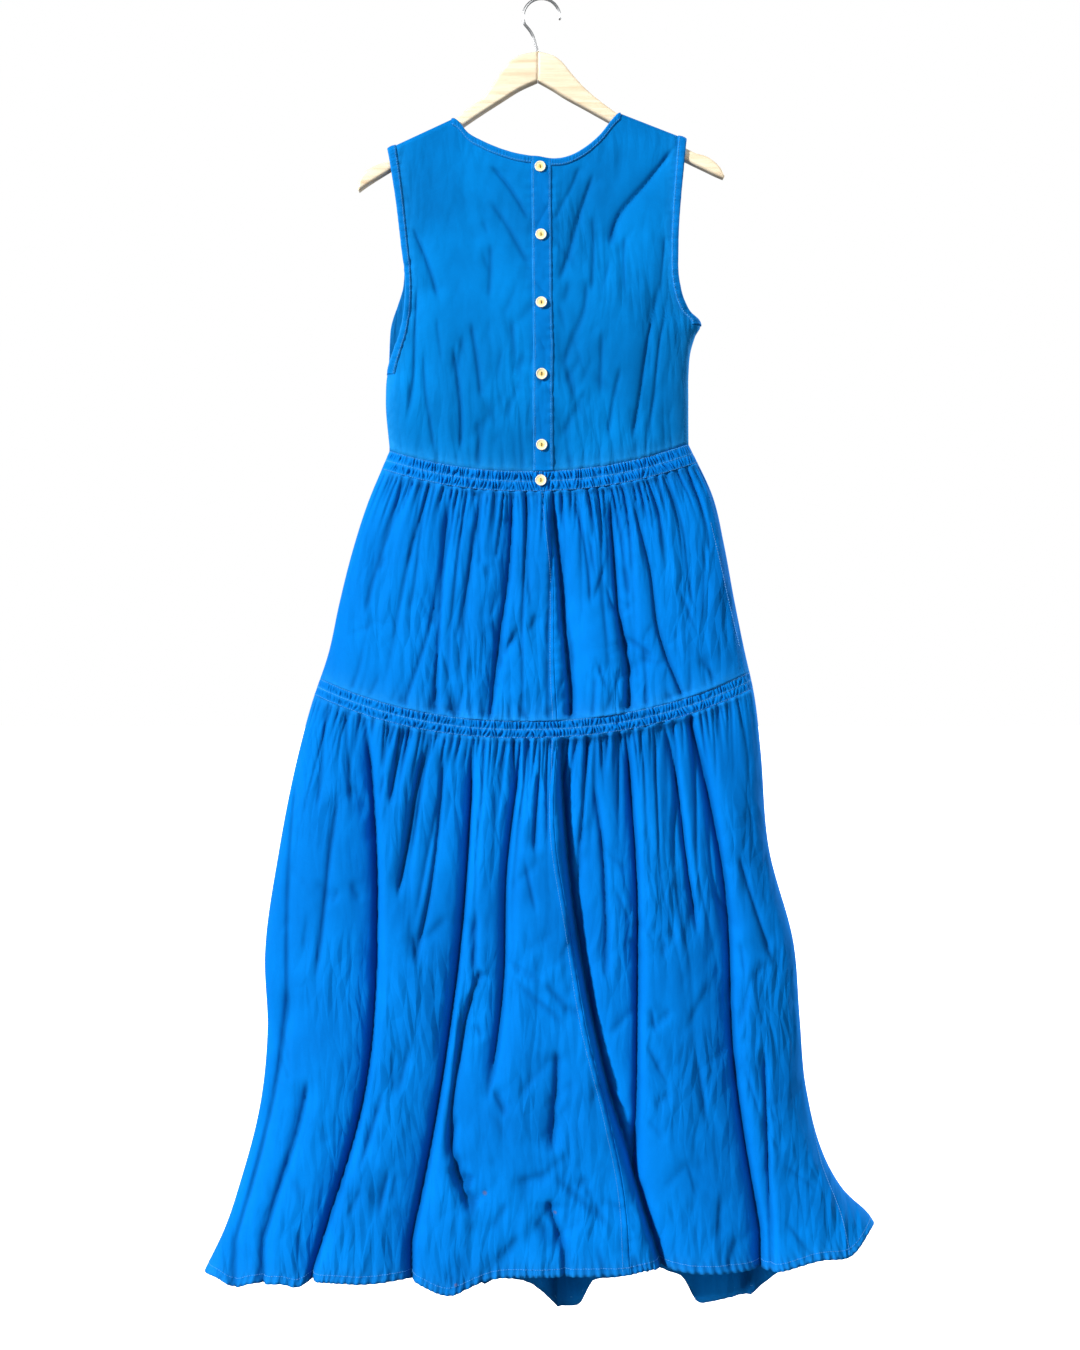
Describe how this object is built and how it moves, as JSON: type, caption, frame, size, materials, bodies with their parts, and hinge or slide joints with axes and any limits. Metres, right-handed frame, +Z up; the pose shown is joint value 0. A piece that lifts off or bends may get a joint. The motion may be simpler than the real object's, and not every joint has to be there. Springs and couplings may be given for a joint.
{
  "type": "tiered a-line dress on a clothes hanger",
  "caption": "Sleeveless tiered maxi dress in plain blue cotton with a buttoned back and shirred bands, hanging empty on a flat wooden hanger with a wire hook.",
  "frame": {"origin": "inside top of the hook's crook, where the rail bears", "axes": "+Z up along the hanging height, +X to the viewer's right across the hanger, +Y away from the buttoned back, through the thickness"},
  "size_m": [0.8026, 0.138, 1.5922],
  "materials": {
    "cotton": "plain-weave cotton, matte with a soft sheen",
    "buttons": "pale shell with a satin polish",
    "hanger_wood": "satin clear varnish",
    "hook_metal": "polished plating"
  },
  "bodies": {
    "root": {"bodice_back_left": "cotton", "bodice_back_right": "cotton", "bodice_front": "cotton", "button_placket": "cotton", "neck_binding_back_left": "cotton", "neck_binding_back_right": "cotton", "neck_binding_front": "cotton", "armhole_binding_left_back": "cotton", "armhole_binding_left_front": "cotton", "armhole_binding_right_back": "cotton", "armhole_binding_right_front": "cotton", "waist_band_back_left": "cotton", "waist_band_back_right": "cotton", "waist_band_front": "cotton", "upper_tier_back_left": "cotton", "upper_tier_back_right": "cotton", "upper_tier_front": "cotton", "lower_band_back_left": "cotton", "lower_band_back_right": "cotton", "lower_band_front": "cotton", "lower_tier_back_left": "cotton", "lower_tier_back_right": "cotton", "lower_tier_front": "cotton", "button_1": "buttons", "button_2": "buttons", "button_3": "buttons", "button_4": "buttons", "button_5": "buttons", "button_6": "buttons", "hanger_arm_left": "hanger_wood", "hanger_arm_right": "hanger_wood", "hook": "hook_metal"}
  },
  "joints": []
}
